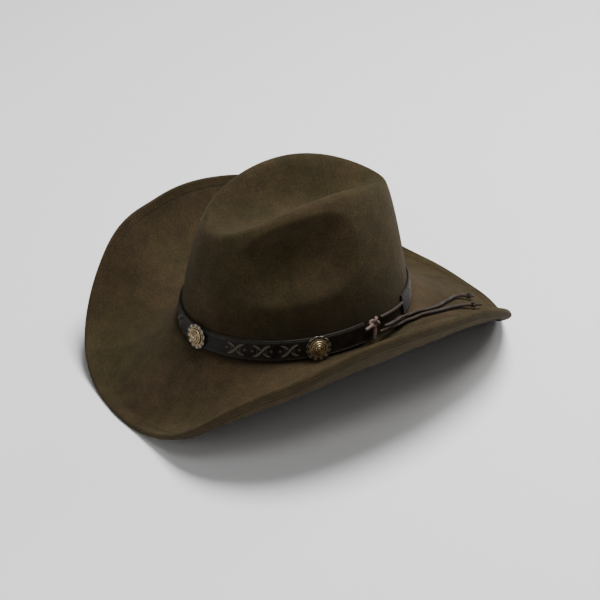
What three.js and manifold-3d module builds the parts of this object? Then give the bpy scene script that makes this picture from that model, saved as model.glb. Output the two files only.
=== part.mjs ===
// A crushable wool felt hat with a tooled leather band, shell-shaped conchos and a knotted lace.
// Millimetres, +Z up. The front of the hat points to -Y and the wearer's left to +X.
// The hat rests on the front and back dips of its brim. The origin is on that surface, under
// the middle of the hat's outline.

import * as THREE from 'three';
import { mergeVertices } from 'three/addons/utils/BufferGeometryUtils.js';
import Module from 'manifold-3d';

const wasm = await Module();
wasm.setup();

// Felt: sizes of the crown, measured outside from the break where crown and brim meet
const headLength = 205;
const headWidth = 172;
const feltThickness = 2.5;
const crownHeight = 122.5;
const ridgeLength = 160;
const ridgeWidth = 84;
const ridgeShift = 5.4;
const ridgeEndDip = 22.5;
const ridgeBackRise = 4.7;
const ridgeFrontFlare = 0.16;
const dishFloor = 94;
const dishFrontPocket = 9;
const dishPower = 2.6;
const wallTaper = 0.66;
const wallTaperBend = 1.15;
const shoulderPower = 2.7;
const dentDepth = 17;
const dentCorner = 3;
const dentFalloff = 1.5;

// Felt: sizes of the brim
const brimWidth = 98.5;
const edgeTurn = 9;
const edgeThickness = 4.8;
const edgeNose = 1.6;
const edgeStep = 0.6;
const restFlat = 2.4;
const restBlend = 1.2;

// Band, conchos and lace
const bandHeight = 18;
const bandThickness = 2.2;
const bandBevel = 0.5;
const bandLift = 1.2;
const bandStart = 136;
const bandEnd = 465;
const conchoDiameter = 22;
const conchoThickness = 1.6;
const conchoScallop = 0.05;
const conchoScallops = 12;
const centreDiameter = 13.5;
const centreHeight = 3.2;
const laceDiameter = 3;
const knotSize = 11;
const endKnotDiameter = 5.4;
const clearance = 0.3;
const feltClearance = 0.9;

// Counts of facets and steps, and the length of one step of a lace
const columns = 60;
const laceSides = 8;
const lacePitch = 7.5;
const conchoSides = 24;
const centreSides = 16;
const knotSides = 12;
const slopeSteps = 12;

// One row for each sixteenth of the way round the brim, from the front past the wearer's left. at
// is the angle from the front in degrees, and width a share of brimWidth. leave and lift are the
// slopes at the crown and at the edge in degrees, and curl says how late the slope changes.
const brimRows = [
  { at: 0, width: 0.92, leave: -43.2, lift: 22, curl: 9.6 },
  { at: 22.5, width: 0.89, leave: -43.6, lift: 28.5, curl: 4.6 },
  { at: 45, width: 0.96, leave: -33, lift: 73, curl: 2.1 },
  { at: 67.5, width: 0.97, leave: -17, lift: 71, curl: 1.16 },
  { at: 90, width: 0.97, leave: -16, lift: 71, curl: 0.7 },
  { at: 112.5, width: 0.92, leave: -39, lift: 63, curl: 0.44 },
  { at: 135, width: 0.93, leave: -31, lift: 60, curl: 0.82 },
  { at: 157.5, width: 0.96, leave: -39, lift: 28, curl: 1.51 },
  { at: 180, width: 1.08, leave: -33, lift: -18, curl: 3.55 },
  { at: 202.5, width: 1.02, leave: -37, lift: 5, curl: 2.9 },
  { at: 225, width: 0.99, leave: -44, lift: 37, curl: 1.5 },
  { at: 247.5, width: 0.99, leave: -36, lift: 56, curl: 0.76 },
  { at: 270, width: 1.0, leave: -32, lift: 66, curl: 0.56 },
  { at: 292.5, width: 1.01, leave: -33, lift: 70, curl: 0.61 },
  { at: 315, width: 1.02, leave: -41, lift: 60, curl: 0.97 },
  { at: 337.5, width: 0.98, leave: -39.6, lift: 25, curl: 3.4 },
];

// The pinch on each side of the crown. at and span are degrees from the front, middle, above and
// below are shares of the wall's height, and depth is a share of dentDepth. dentCorner says how
// square the pinch's outline is, 2 for an oval, and dentFalloff how gently it fades at its rim.
const dents = [
  { side: 1, at: 72, span: 36, middle: 0.7, above: 0.26, below: 0.3, depth: 1.0 },
  { side: -1, at: 72, span: 36, middle: 0.7, above: 0.26, below: 0.3, depth: 0.95 },
];

// Shares of the way at which the felt has a ring of points: from the middle of the dish to the
// ridge, from the break up to the ridge, and from the break out to the turned edge
const dishShares = [0.3, 0.5, 0.66, 0.79, 0.9];
const wallShares = [0, 0.09, 0.2, 0.32, 0.44, 0.55, 0.66, 0.76, 0.85, 0.92, 0.965, 0.992, 1];
const brimShares = [0.12, 0.26, 0.4, 0.54, 0.67, 0.79];

// Conchos sit on the band at these angles
const conchoAngles = [14.5, 80, 226.5, 300.5];

// Outlines of the turned pieces, from the base up: radius and height as shares of the piece's
// radius and height, and whether the ring is scalloped
const rimRings = [
  { radius: 0.94, height: 0, scalloped: true },
  { radius: 1, height: 0.4, scalloped: true },
  { radius: 0.93, height: 0.8, scalloped: true },
  { radius: 0.6, height: 1, scalloped: false },
];
const centreRings = [
  { radius: 1, height: 0, scalloped: false },
  { radius: 1, height: 0.55, scalloped: false },
  { radius: 0.9, height: 0.85, scalloped: false },
  { radius: 0.55, height: 1, scalloped: false },
];
const endKnotRings = [
  { radius: 0.55, height: 0, scalloped: false },
  { radius: 0.9, height: 0.25, scalloped: false },
  { radius: 1, height: 0.5, scalloped: false },
  { radius: 0.8, height: 0.8, scalloped: false },
  { radius: 0.45, height: 1, scalloped: false },
];

// The knot's place on the crown, its width and depth as shares of its size, and the stubs that
// stand out of it: sideways, outwards and upwards as shares of the knot's size
const knotAngle = 110;
const knotRise = 17;
const knotWide = 1.1;
const knotDeep = 0.8;
const knotStubs = [
  { side: -1.15, out: 0.25, up: -0.05 },
  { side: -0.3, out: 0.3, up: -1.2 },
];

// The two lace tails, chosen by hand: angle from the front, share of the brim's width from the
// crown to the edge, and lift off the felt in millimetres
const tailRoutes = {
  lace_tail_upper: [
    [114, 0, 13], [118.5, 0, 10.5], [123.5, 0, 7.5], [128.5, 0, 4.5], [133.5, 0.02, 1.8],
    [138.5, 0.055, 0.4], [144, 0.1, 0], [149.5, 0.17, 0], [155.5, 0.245, 0], [162, 0.33, 0],
    [168, 0.405, 0], [172.3, 0.48, 0], [175.7, 0.56, 0], [177.2, 0.63, 0.6], [177.8, 0.7, 1.1],
  ],
  lace_tail_lower: [
    [112.5, 0.01, 6.5], [117, 0.02, 4.5], [122, 0.03, 2.5], [127, 0.045, 1], [132.5, 0.065, 0.2],
    [138, 0.11, 0], [143.5, 0.155, 0], [149, 0.225, 0], [154.5, 0.3, 0], [160, 0.38, 0],
    [164.5, 0.455, 0], [168, 0.535, 0], [170.2, 0.615, 0.6], [171.3, 0.69, 1.3],
  ],
};

// Length of lace that stands out beyond each end knot
const endStubs = { lace_tail_upper: 3, lace_tail_lower: 8 };

// The stretch of lace from the knot to the band's free end: angle from the front and rise
const linkRoute = [[115.2, 17], [119.2, 16.3], [123.3, 15.6], [127.4, 14.9], [131.5, 14.2], [135.6, 13.5]];

const radians = THREE.MathUtils.degToRad;
const degrees = THREE.MathUtils.radToDeg;

// A small step in an angle or a share, for slopes
const little = 0.01;

function breakPoint(angle) {
  return new THREE.Vector3(0.5 * headWidth * Math.sin(angle), -0.5 * headLength * Math.cos(angle), 0);
}

function outward(angle) {
  return new THREE.Vector3(Math.sin(angle) / headWidth, -Math.cos(angle) / headLength, 0).normalize();
}

function brimRow(angle) {
  const step = 360 / brimRows.length;
  const turn = (((degrees(angle) % 360) + 360) % 360) / step;
  const first = Math.floor(turn);
  const f = turn - first;
  const pick = (offset, name) => brimRows[(first + offset + brimRows.length) % brimRows.length][name];
  const row = {};
  for (const name of ['width', 'leave', 'lift', 'curl']) {
    const [a, b, c, d] = [pick(-1, name), pick(0, name), pick(1, name), pick(2, name)];
    const cubic = (3 * b - a - 3 * c + d) * f ** 3;
    row[name] = 0.5 * (2 * b + (c - a) * f + (2 * a - 5 * b + 4 * c - d) * f ** 2 + cubic);
  }
  return row;
}

function brimPoint(angle, share) {
  const row = brimRow(angle);
  const point = breakPoint(angle);
  const away = outward(angle);
  const length = (row.width * brimWidth * share) / slopeSteps;
  for (let i = 0; i < slopeSteps; i += 1) {
    const along = ((i + 0.5) / slopeSteps) * share;
    const slope = radians(row.leave + (row.lift - row.leave) * along ** row.curl);
    point.addScaledVector(away, length * Math.cos(slope));
    point.z += length * Math.sin(slope);
  }
  return point;
}

function ridgePoint(angle) {
  const front = Math.cos(angle);
  const reach = 0.5 * ridgeLength + (front > 0 ? ridgeShift : -ridgeShift);
  return new THREE.Vector3(
    0.5 * ridgeWidth * (1 + ridgeFrontFlare * front) * Math.sin(angle),
    2 * ridgeShift - reach * front,
    crownHeight - ridgeEndDip * front ** 2 - ridgeBackRise * front,
  );
}

function dentAt(angle, share) {
  let depth = 0;
  for (const dent of dents) {
    const turn = degrees(Math.atan2(dent.side * Math.sin(angle), Math.cos(angle)));
    const rise = share - dent.middle;
    const reach = rise > 0 ? dent.above : dent.below;
    const across = Math.abs((turn - dent.at) / dent.span);
    const rim = Math.min(across ** dentCorner + Math.abs(rise / reach) ** dentCorner, 1);
    depth += dentDepth * dent.depth * (1 - rim ** (2 / dentCorner)) ** dentFalloff;
  }
  return depth;
}

function wallPoint(angle, share) {
  const ridge = ridgePoint(angle);
  const shoulder = 1 - (1 - share ** shoulderPower) ** (1 / shoulderPower);
  const inward = wallTaper * share ** wallTaperBend + (1 - wallTaper) * shoulder;
  const point = breakPoint(angle).lerp(new THREE.Vector3(ridge.x, ridge.y, 0), inward);
  point.addScaledVector(outward(angle), -dentAt(angle, share));
  point.z = share * ridge.z;
  return point;
}

function dishPoint(angle, share) {
  const ridge = ridgePoint(angle);
  const middle = 2 * ridgeShift;
  const point = new THREE.Vector3(ridge.x * share, middle + (ridge.y - middle) * share, 0);
  const forward = Math.max(0, (middle - point.y) / (0.5 * ridgeLength));
  const floor = dishFloor - dishFrontPocket * forward ** 2;
  const rise = share ** dishPower * (1 + dishPower * (1 - share));
  point.z = floor + (ridge.z - floor) * rise;
  return point;
}

// Points of the felt's upper face in one column, from the dish out to the edge of the brim
function feltColumn(angle) {
  const width = brimRow(angle).width * brimWidth;
  const border = [1 - (edgeTurn + edgeStep) / width, 1 - edgeTurn / width, 1];
  return [
    ...dishShares.map((share) => dishPoint(angle, share)),
    ...[...wallShares].reverse().map((share) => wallPoint(angle, share)),
    ...[...brimShares, ...border].map((share) => brimPoint(angle, share)),
  ];
}

function meshFrom(points, triangles) {
  const geometry = new THREE.BufferGeometry();
  const numbers = points.flatMap((p) => [p.x, p.y, p.z]);
  geometry.setAttribute('position', new THREE.Float32BufferAttribute(numbers, 3));
  geometry.setIndex(triangles);
  return geometry;
}

// How far felt is lifted that would reach this deep below the resting surface. It lies flat from
// restBlend on, and eases into the free brim above that.
function restLift(depth) {
  if (depth >= restBlend) return depth;
  return Math.max(0, depth + restBlend) ** 2 / (4 * restBlend);
}

// Crown, brim and turned edge are one piece of felt: an upper face, the same face moved down by
// the felt's thickness, and a rounded nose that closes the two along the edge. Where the brim
// would reach below the resting surface, felt and nose are bent up to lie on it.
function feltGeometry() {
  const angles = Array.from({ length: columns }, (_, i) => (2 * Math.PI * i) / columns);
  const upper = angles.map(feltColumn);
  const rings = upper[0].length;
  const last = rings - 1;
  const top = new THREE.Vector3(0, 2 * ridgeShift, dishFloor);
  const under = upper.map(() => []);
  const nose = [];
  for (let i = 0; i < columns; i += 1) {
    const before = upper[(i + columns - 1) % columns];
    const after = upper[(i + 1) % columns];
    for (let j = 0; j < rings; j += 1) {
      const inner = j > 0 ? upper[i][j - 1] : top;
      const outer = upper[i][Math.min(j + 1, last)];
      const along = outer.clone().sub(inner).normalize();
      const normal = along.clone().cross(after[j].clone().sub(before[j])).normalize();
      const thickness = j < last - 1 ? feltThickness : edgeThickness;
      under[i].push(upper[i][j].clone().addScaledVector(normal, -thickness));
      if (j === last) {
        nose.push(upper[i][j].clone().lerp(under[i][j], 0.5).addScaledVector(along, edgeNose));
      }
    }
  }
  const floor = Math.min(...under.flat().map((p) => p.z)) + restFlat;
  for (let i = 0; i < columns; i += 1) {
    const lifts = under[i].map((p) => restLift(floor - p.z));
    lifts.forEach((lift, j) => {
      upper[i][j].z += lift;
      under[i][j].z += lift;
    });
    nose[i].z += lifts[last];
  }

  const points = [top, new THREE.Vector3(top.x, top.y, top.z - feltThickness)];
  for (let i = 0; i < columns; i += 1) points.push(...upper[i], nose[i], ...under[i].reverse());
  const tall = 2 * rings + 1;
  const triangles = [];
  for (let i = 0; i < columns; i += 1) {
    const here = 2 + i * tall;
    const next = 2 + ((i + 1) % columns) * tall;
    triangles.push(0, here, next);
    for (let j = 0; j < tall - 1; j += 1) {
      triangles.push(here + j, here + j + 1, next + j + 1, here + j, next + j + 1, next + j);
    }
    triangles.push(1, next + tall - 1, here + tall - 1);
  }
  return { geometry: meshFrom(points, triangles), floor };
}

// A closed body through equal outlines, one after the other
function loft(outlines) {
  const count = outlines[0].length;
  const points = outlines.flat();
  const triangles = [];
  for (let i = 0; i < outlines.length - 1; i += 1) {
    for (let j = 0; j < count; j += 1) {
      const a = i * count + j;
      const b = i * count + ((j + 1) % count);
      triangles.push(a, b, b + count, a, b + count, a + count);
    }
  }
  const last = (outlines.length - 1) * count;
  for (let j = 1; j < count - 1; j += 1) {
    triangles.push(0, j + 1, j);
    triangles.push(last, last + j, last + j + 1);
  }
  return meshFrom(points, triangles);
}

// A point beside the crown's wall: rise above the break and distance outside the felt
function besideWall(angle, rise, away) {
  return wallPoint(angle, rise / ridgePoint(angle).z).addScaledVector(outward(angle), away);
}

// The way straight out of the wall at a rise above the break
function wallNormal(angle, rise) {
  const reach = 0.25 * bandHeight;
  const up = besideWall(angle, rise + reach, 0).sub(besideWall(angle, rise - reach, 0));
  const across = besideWall(angle + little, rise, 0).sub(besideWall(angle - little, rise, 0));
  return across.cross(up).normalize();
}

function bandGeometry() {
  const outline = [
    [0, 0],
    [0, bandHeight],
    [bandThickness - bandBevel, bandHeight],
    [bandThickness, bandHeight - bandBevel],
    [bandThickness, bandBevel],
    [bandThickness - bandBevel, 0],
  ];
  const pitch = 360 / columns;
  const stops = [bandStart];
  for (let at = Math.ceil(bandStart / pitch) * pitch; at < bandEnd; at += pitch) {
    if (at > bandStart) stops.push(at);
  }
  stops.push(bandEnd);
  return loft(stops.map((at) => outline.map(
    ([away, rise]) => besideWall(radians(at), bandLift + rise, clearance + away),
  )));
}

// Rings of points round an axis along +Z, closed by a point at each end
function turned(rings, radius, height, sides) {
  const points = [new THREE.Vector3(0, 0, 0)];
  for (const ring of rings) {
    for (let i = 0; i < sides; i += 1) {
      const turn = (2 * Math.PI * i) / sides;
      const wave = 1 - conchoScallop * (1 - Math.cos(conchoScallops * turn));
      const reach = radius * ring.radius * (ring.scalloped ? wave : 1);
      points.push(new THREE.Vector3(reach * Math.cos(turn), reach * Math.sin(turn), height * ring.height));
    }
  }
  points.push(new THREE.Vector3(0, 0, height * rings[rings.length - 1].height));
  const triangles = [];
  const end = points.length - 1;
  for (let i = 0; i < sides; i += 1) {
    const next = (i + 1) % sides;
    triangles.push(0, 1 + next, 1 + i);
    for (let j = 0; j < rings.length - 1; j += 1) {
      const low = 1 + j * sides;
      const high = low + sides;
      triangles.push(low + i, low + next, high + next, low + i, high + next, high + i);
    }
    triangles.push(end, end - sides + i, end - sides + next);
  }
  return meshFrom(points, triangles);
}

// A length of lace through the points
function laceAlong(points, pitch) {
  const path = new THREE.CatmullRomCurve3(points);
  const radius = 0.5 * laceDiameter;
  const outline = new THREE.Shape(Array.from({ length: laceSides }, (_, i) => {
    const turn = (2 * Math.PI * i) / laceSides;
    return new THREE.Vector2(radius * Math.cos(turn), radius * Math.sin(turn));
  }));
  const steps = Math.max(2, Math.round(path.getLength() / pitch));
  return new THREE.ExtrudeGeometry(outline, { steps, extrudePath: path, bevelEnabled: false });
}

// The way out of the upper face of the brim at a point
function brimNormal(angle, share) {
  const along = brimPoint(angle, share + little).sub(brimPoint(angle, Math.max(share - little, 0)));
  const across = brimPoint(angle + little, share).sub(brimPoint(angle - little, share));
  return along.cross(across).normalize();
}

function tailPoints(route) {
  return route.map(([at, share, lift]) => {
    const angle = radians(at);
    const rise = 0.5 * laceDiameter + feltClearance + lift;
    return brimPoint(angle, share).addScaledVector(brimNormal(angle, share), rise);
  });
}

// A knot with a stub of lace beyond it
function endKnotGeometry(stub) {
  const neck = endKnotRings[endKnotRings.length - 1];
  const tip = { ...neck, height: 1 + stub / endKnotDiameter };
  return turned([...endKnotRings, tip], endKnotDiameter / 2, endKnotDiameter, laceSides);
}

function toManifold(geometry) {
  const bare = geometry.clone();
  bare.deleteAttribute('normal');
  bare.deleteAttribute('uv');
  const merged = mergeVertices(bare, 0.001);
  return new wasm.Manifold(new wasm.Mesh({
    numProp: 3,
    vertProperties: new Float32Array(merged.attributes.position.array),
    triVerts: new Uint32Array(merged.index.array),
  }));
}

function fromManifold(solid) {
  const mesh = solid.getMesh();
  const geometry = new THREE.BufferGeometry();
  geometry.setAttribute('position', new THREE.BufferAttribute(mesh.vertProperties, 3));
  geometry.setIndex(new THREE.BufferAttribute(mesh.triVerts, 1));
  return geometry;
}

// The knot of the lace with the two short stubs that stand out of it
function knotGeometry() {
  const angle = radians(knotAngle);
  const middle = besideWall(angle, knotRise, 0.5 * knotDeep * knotSize + clearance);
  const out = outward(angle);
  const side = new THREE.Vector3(-out.y, out.x, 0);
  const body = new THREE.SphereGeometry(0.5 * knotSize, knotSides, laceSides);
  body.scale(knotWide, knotDeep, 1);
  body.rotateZ(Math.atan2(side.y, side.x));
  body.translate(middle.x, middle.y, middle.z);
  let solid = toManifold(body);
  for (const stub of knotStubs) {
    const tip = middle.clone().addScaledVector(side, stub.side * knotSize);
    tip.addScaledVector(out, stub.out * knotSize);
    tip.z += stub.up * knotSize;
    const half = middle.clone().lerp(tip, 0.5);
    solid = solid.add(toManifold(laceAlong([middle, half, tip], laceDiameter)));
  }
  return fromManifold(solid);
}

// The stretch of lace that runs along the crown from the knot to the band's free end
function linkGeometry() {
  const away = 0.5 * laceDiameter + feltClearance;
  const points = linkRoute.map(([at, rise]) => besideWall(radians(at), rise, away));
  return laceAlong(points, lacePitch);
}

const looks = {
  felt: { color: 0x453a2c, roughness: 0.95, metalness: 0 },
  band: { color: 0x2a2019, roughness: 0.5, metalness: 0 },
  silver: { color: 0x8f8a7a, roughness: 0.45, metalness: 0.9 },
  brass: { color: 0xb5914f, roughness: 0.4, metalness: 0.9 },
  lace: { color: 0x6b4a3c, roughness: 0.7, metalness: 0 },
};

function piece(name, geometry, look) {
  const mesh = new THREE.Mesh(geometry, new THREE.MeshStandardMaterial(looks[look]));
  mesh.name = name;
  return mesh;
}

const hat = new THREE.Group();
const felt = feltGeometry();
hat.add(piece('felt_body', felt.geometry, 'felt'));
hat.add(piece('hat_band', bandGeometry(), 'band'));

// Each concho lies on the middle of the band's outer face, with its axis straight out
conchoAngles.forEach((at, index) => {
  const angle = radians(at);
  const middle = bandLift + 0.5 * bandHeight;
  const holder = new THREE.Group();
  holder.position.copy(besideWall(angle, middle, bandThickness + 2 * clearance));
  holder.quaternion.setFromUnitVectors(new THREE.Vector3(0, 0, 1), wallNormal(angle, middle));
  const rim = turned(rimRings, conchoDiameter / 2, conchoThickness, conchoSides);
  holder.add(piece(`concho_rim_${index + 1}`, rim, 'silver'));
  const cap = turned(centreRings, centreDiameter / 2, centreHeight, centreSides);
  const centre = piece(`concho_centre_${index + 1}`, cap, 'brass');
  centre.position.z = conchoThickness + clearance;
  holder.add(centre);
  hat.add(holder);
});

hat.add(piece('tie_knot', knotGeometry(), 'lace'));
hat.add(piece('lace_link', linkGeometry(), 'lace'));

for (const [name, route] of Object.entries(tailRoutes)) {
  const points = tailPoints(route);
  hat.add(piece(name, laceAlong(points, lacePitch), 'lace'));
  const end = points[points.length - 1];
  const direction = end.clone().sub(points[points.length - 2]).normalize();
  const knot = piece(name.replace('tail', 'end_knot'), endKnotGeometry(endStubs[name]), 'lace');
  knot.position.copy(end).addScaledVector(direction, clearance);
  knot.quaternion.setFromUnitVectors(new THREE.Vector3(0, 0, 1), direction);
  hat.add(knot);
}

felt.geometry.computeBoundingBox();
const box = felt.geometry.boundingBox;
hat.position.set(-0.5 * (box.min.x + box.max.x), -0.5 * (box.min.y + box.max.y), -felt.floor);

export default hat;
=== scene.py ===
import math
import random

import bpy
import numpy as np
from mathutils import Matrix, Vector


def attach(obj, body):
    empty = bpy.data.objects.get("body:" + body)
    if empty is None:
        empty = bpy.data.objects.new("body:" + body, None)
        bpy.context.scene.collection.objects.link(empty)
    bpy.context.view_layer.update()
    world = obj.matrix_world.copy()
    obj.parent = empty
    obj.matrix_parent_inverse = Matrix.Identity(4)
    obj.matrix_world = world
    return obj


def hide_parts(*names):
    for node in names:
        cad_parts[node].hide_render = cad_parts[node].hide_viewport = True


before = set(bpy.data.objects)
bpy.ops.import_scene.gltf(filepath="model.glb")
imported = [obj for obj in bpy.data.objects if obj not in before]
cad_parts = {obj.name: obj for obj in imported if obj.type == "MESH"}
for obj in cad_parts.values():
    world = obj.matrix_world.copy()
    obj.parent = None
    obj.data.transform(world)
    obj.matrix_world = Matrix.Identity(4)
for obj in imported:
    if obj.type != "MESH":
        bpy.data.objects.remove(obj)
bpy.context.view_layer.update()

MM = 0.001

# Where the middle of the crown's break lies over the hat's resting surface
BREAK = np.array([2.6022, -9.9081, 56.2502])

# Felt, in millimetres
HEAD_LENGTH = 205.0
HEAD_WIDTH = 172.0
FELT = 2.5
CROWN_HEIGHT = 122.5
RIDGE_LENGTH = 160.0
RIDGE_WIDTH = 84.0
RIDGE_SHIFT = 5.4
RIDGE_END_DIP = 22.5
RIDGE_BACK_RISE = 4.7
RIDGE_FRONT_FLARE = 0.16
DISH_FLOOR = 94.0
DISH_FRONT_POCKET = 9.0
DISH_POWER = 2.6
WALL_TAPER = 0.66
WALL_TAPER_BEND = 1.15
SHOULDER_POWER = 2.7
DENT_DEPTH = 17.0
DENT_CORNER = 3
DENT_FALLOFF = 1.5
DENTS = (
    {"side": 1, "at": 72, "span": 36, "middle": 0.7, "above": 0.26, "below": 0.3, "depth": 1.0},
    {"side": -1, "at": 72, "span": 36, "middle": 0.7, "above": 0.26, "below": 0.3, "depth": 0.95},
)
BRIM_WIDTH = 98.5
EDGE_TURN = 9.0
EDGE_THICKNESS = 4.8
EDGE_NOSE = 1.6
REST_BLEND = 1.2
FELT_COLUMNS = 360
BORDER_RINGS = 24
NOSE_RINGS = 7
SEAM_INSET = 1.2
SEAM_HALF_WIDTH = 0.8
SEAM_DEPTH = 0.35
ROLL_HEIGHT = 0.28
ROLL_SPACING = 3.7

# Brim rows, one for each sixteenth of the way round: width share, leaving slope, edge slope, curl
BRIM_ROWS = np.array([
    (0.92, -43.2, 22, 9.6), (0.89, -43.6, 28.5, 4.6), (0.96, -33, 73, 2.1), (0.97, -17, 71, 1.16),
    (0.97, -16, 71, 0.7), (0.92, -39, 63, 0.44), (0.93, -31, 60, 0.82), (0.96, -39, 28, 1.51),
    (1.08, -33, -18, 3.55), (1.02, -37, 5, 2.9), (0.99, -44, 37, 1.5), (0.99, -36, 56, 0.76),
    (1.0, -32, 66, 0.56), (1.01, -33, 70, 0.61), (1.02, -41, 60, 0.97), (0.98, -39.6, 25, 3.4),
])
SLOPE_STEPS = 12

# Band, conchos and laces, in millimetres
CLEARANCE = 0.3
BAND_HEIGHT = 18.0
BAND_THICKNESS = 2.2
BAND_LIFT = 1.2
BAND_START = 136.0
BAND_END = 465.0
CONCHO_ANGLES = (14.5, 80.0, 226.5, 300.5)
CONCHO_DIAMETER = 22.0
CONCHO_THICKNESS = 1.6
CONCHO_SCALLOPS = 12
CONCHO_STEP = 0.72
CENTRE_DIAMETER = 13.5
CENTRE_HEIGHT = 3.2
LACE = 3.0
FELT_CLEARANCE = 0.9
KNOT_SIZE = 11.0
KNOT_ANGLE = 110.0
KNOT_RISE = 17.0
KNOT_DEEP = 0.8
KNOT_STUBS = ((-1.15, 0.25, -0.05), (-0.3, 0.3, -1.2))
END_KNOT = 5.4
LINK_ROUTE = (
    (115.2, 17), (119.2, 16.3), (123.3, 15.6), (127.4, 14.9), (131.5, 14.2), (135.6, 13.5),
)

# Tails: angle from the front, share of the brim's width, lift off the felt
TAIL_ROUTES = {
    "upper": (
        (114, 0, 13), (118.5, 0, 10.5), (123.5, 0, 7.5), (128.5, 0, 4.5), (133.5, 0.02, 1.8),
        (138.5, 0.055, 0.4), (144, 0.1, 0), (149.5, 0.17, 0), (155.5, 0.245, 0), (162, 0.33, 0),
        (168, 0.405, 0), (172.3, 0.48, 0), (175.7, 0.56, 0), (177.2, 0.63, 0.6), (177.8, 0.7, 1.1),
    ),
    "lower": (
        (112.5, 0.01, 6.5), (117, 0.02, 4.5), (122, 0.03, 2.5), (127, 0.045, 1), (132.5, 0.065, 0.2),
        (138, 0.11, 0), (143.5, 0.155, 0), (149, 0.225, 0), (154.5, 0.3, 0), (160, 0.38, 0),
        (164.5, 0.455, 0), (168, 0.535, 0), (170.2, 0.615, 0.6), (171.3, 0.69, 1.3),
    ),
}
TAIL_STUBS = {"upper": 3.0, "lower": 8.0}

# Shallow crease in the brim under the tails: angle from the front, share of the width
CREASE_ROUTE = (
    (120, 0.03), (122, 0.05), (130, 0.09), (135, 0.16), (145.5, 0.27), (155.5, 0.41), (162, 0.56),
)
CREASE_DEPTH = 1.1
CREASE_HALF_WIDTH = 3.2

# Crossed leaves tooled into the band, by their angle from the front
TOOLED_CROSSES = (-38, -24, -9, 39.5, 53, 66.5, 153, 167, 181, 195, 209, 244, 258, 272, 286)

# The photograph's view: pixels per millimetre, picture side and middle in pixels, distance in mm
PHOTO_SCALE = 1.163
PHOTO_SIDE = 600
PHOTO_MIDDLE = 299.5
CAMERA_DISTANCE = 1800
SENSOR = 36


def column(values):
    return np.atleast_1d(np.asarray(values, dtype=float))


def unit(vectors):
    return vectors / np.maximum(np.linalg.norm(vectors, axis=-1, keepdims=True), 1e-9)


def bump(distance, reach):
    share = np.minimum(np.abs(distance) / reach, 1)
    return (1 - share * share) ** 2


def break_line(angle):
    return np.stack([
        0.5 * HEAD_WIDTH * np.sin(angle), -0.5 * HEAD_LENGTH * np.cos(angle), 0 * angle,
    ], axis=-1)


def outward(angle):
    return unit(np.stack([np.sin(angle) / HEAD_WIDTH, -np.cos(angle) / HEAD_LENGTH, 0 * angle], axis=-1))


def brim_row(angle):
    turn = np.degrees(angle) % 360 * len(BRIM_ROWS) / 360
    first = np.floor(turn).astype(int)
    f = (turn - first)[..., None]
    a, b, c, d = (BRIM_ROWS[(first + k) % len(BRIM_ROWS)] for k in (-1, 0, 1, 2))
    curve = 2 * b + (c - a) * f + (2 * a - 5 * b + 4 * c - d) * f**2 + (3 * b - a - 3 * c + d) * f**3
    return np.moveaxis(0.5 * curve, -1, 0)


def brim_point(angle, share):
    angle, share = np.broadcast_arrays(column(angle), column(share))
    width, leave, lift, curl = brim_row(angle)
    point = break_line(angle)
    away = outward(angle)
    length = width * BRIM_WIDTH * share / SLOPE_STEPS
    for i in range(SLOPE_STEPS):
        along = (i + 0.5) / SLOPE_STEPS * share
        slope = np.radians(leave + (lift - leave) * along**curl)
        point = point + away * (length * np.cos(slope))[..., None]
        point[..., 2] += length * np.sin(slope)
    return point


def rest_lift(under):
    """How far felt is lifted that would reach below the resting surface, easing in above it."""
    depth = -BREAK[2] - under
    eased = np.maximum(0, depth + REST_BLEND) ** 2 / (4 * REST_BLEND)
    return np.where(depth >= REST_BLEND, depth, eased)


def ridge_point(angle):
    front = np.cos(angle)
    reach = 0.5 * RIDGE_LENGTH + np.where(front > 0, RIDGE_SHIFT, -RIDGE_SHIFT)
    return np.stack([
        0.5 * RIDGE_WIDTH * (1 + RIDGE_FRONT_FLARE * front) * np.sin(angle),
        2 * RIDGE_SHIFT - reach * front,
        CROWN_HEIGHT - RIDGE_END_DIP * front**2 - RIDGE_BACK_RISE * front,
    ], axis=-1)


def dent_at(angle, share):
    depth = 0 * angle
    for dent in DENTS:
        turn = np.degrees(np.arctan2(dent["side"] * np.sin(angle), np.cos(angle)))
        rise = share - dent["middle"]
        reach = np.where(rise > 0, dent["above"], dent["below"])
        across = np.abs((turn - dent["at"]) / dent["span"])
        rim = np.minimum(across**DENT_CORNER + np.abs(rise / reach) ** DENT_CORNER, 1)
        depth = depth + DENT_DEPTH * dent["depth"] * (1 - rim ** (2 / DENT_CORNER)) ** DENT_FALLOFF
    return depth


def wall_point(angle, share):
    angle, share = np.broadcast_arrays(column(angle), column(share))
    ridge = ridge_point(angle)
    share = np.clip(share, 0, 1)
    shoulder = 1 - (1 - share**SHOULDER_POWER) ** (1 / SHOULDER_POWER)
    inward = WALL_TAPER * share**WALL_TAPER_BEND + (1 - WALL_TAPER) * shoulder
    foot = break_line(angle)
    flat_ridge = ridge * np.array([1, 1, 0])
    point = foot + (flat_ridge - foot) * inward[..., None]
    point = point - outward(angle) * dent_at(angle, share)[..., None]
    point[..., 2] = share * ridge[..., 2]
    return point


def dish_point(angle, share):
    angle, share = np.broadcast_arrays(column(angle), column(share))
    ridge = ridge_point(angle)
    middle = 2 * RIDGE_SHIFT
    x = ridge[..., 0] * share
    y = middle + (ridge[..., 1] - middle) * share
    forward = np.maximum(0, (middle - y) / (0.5 * RIDGE_LENGTH))
    floor = DISH_FLOOR - DISH_FRONT_POCKET * forward**2
    rise = share**DISH_POWER * (1 + DISH_POWER * (1 - share))
    return np.stack([x, y, floor + (ridge[..., 2] - floor) * rise], axis=-1)


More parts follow.
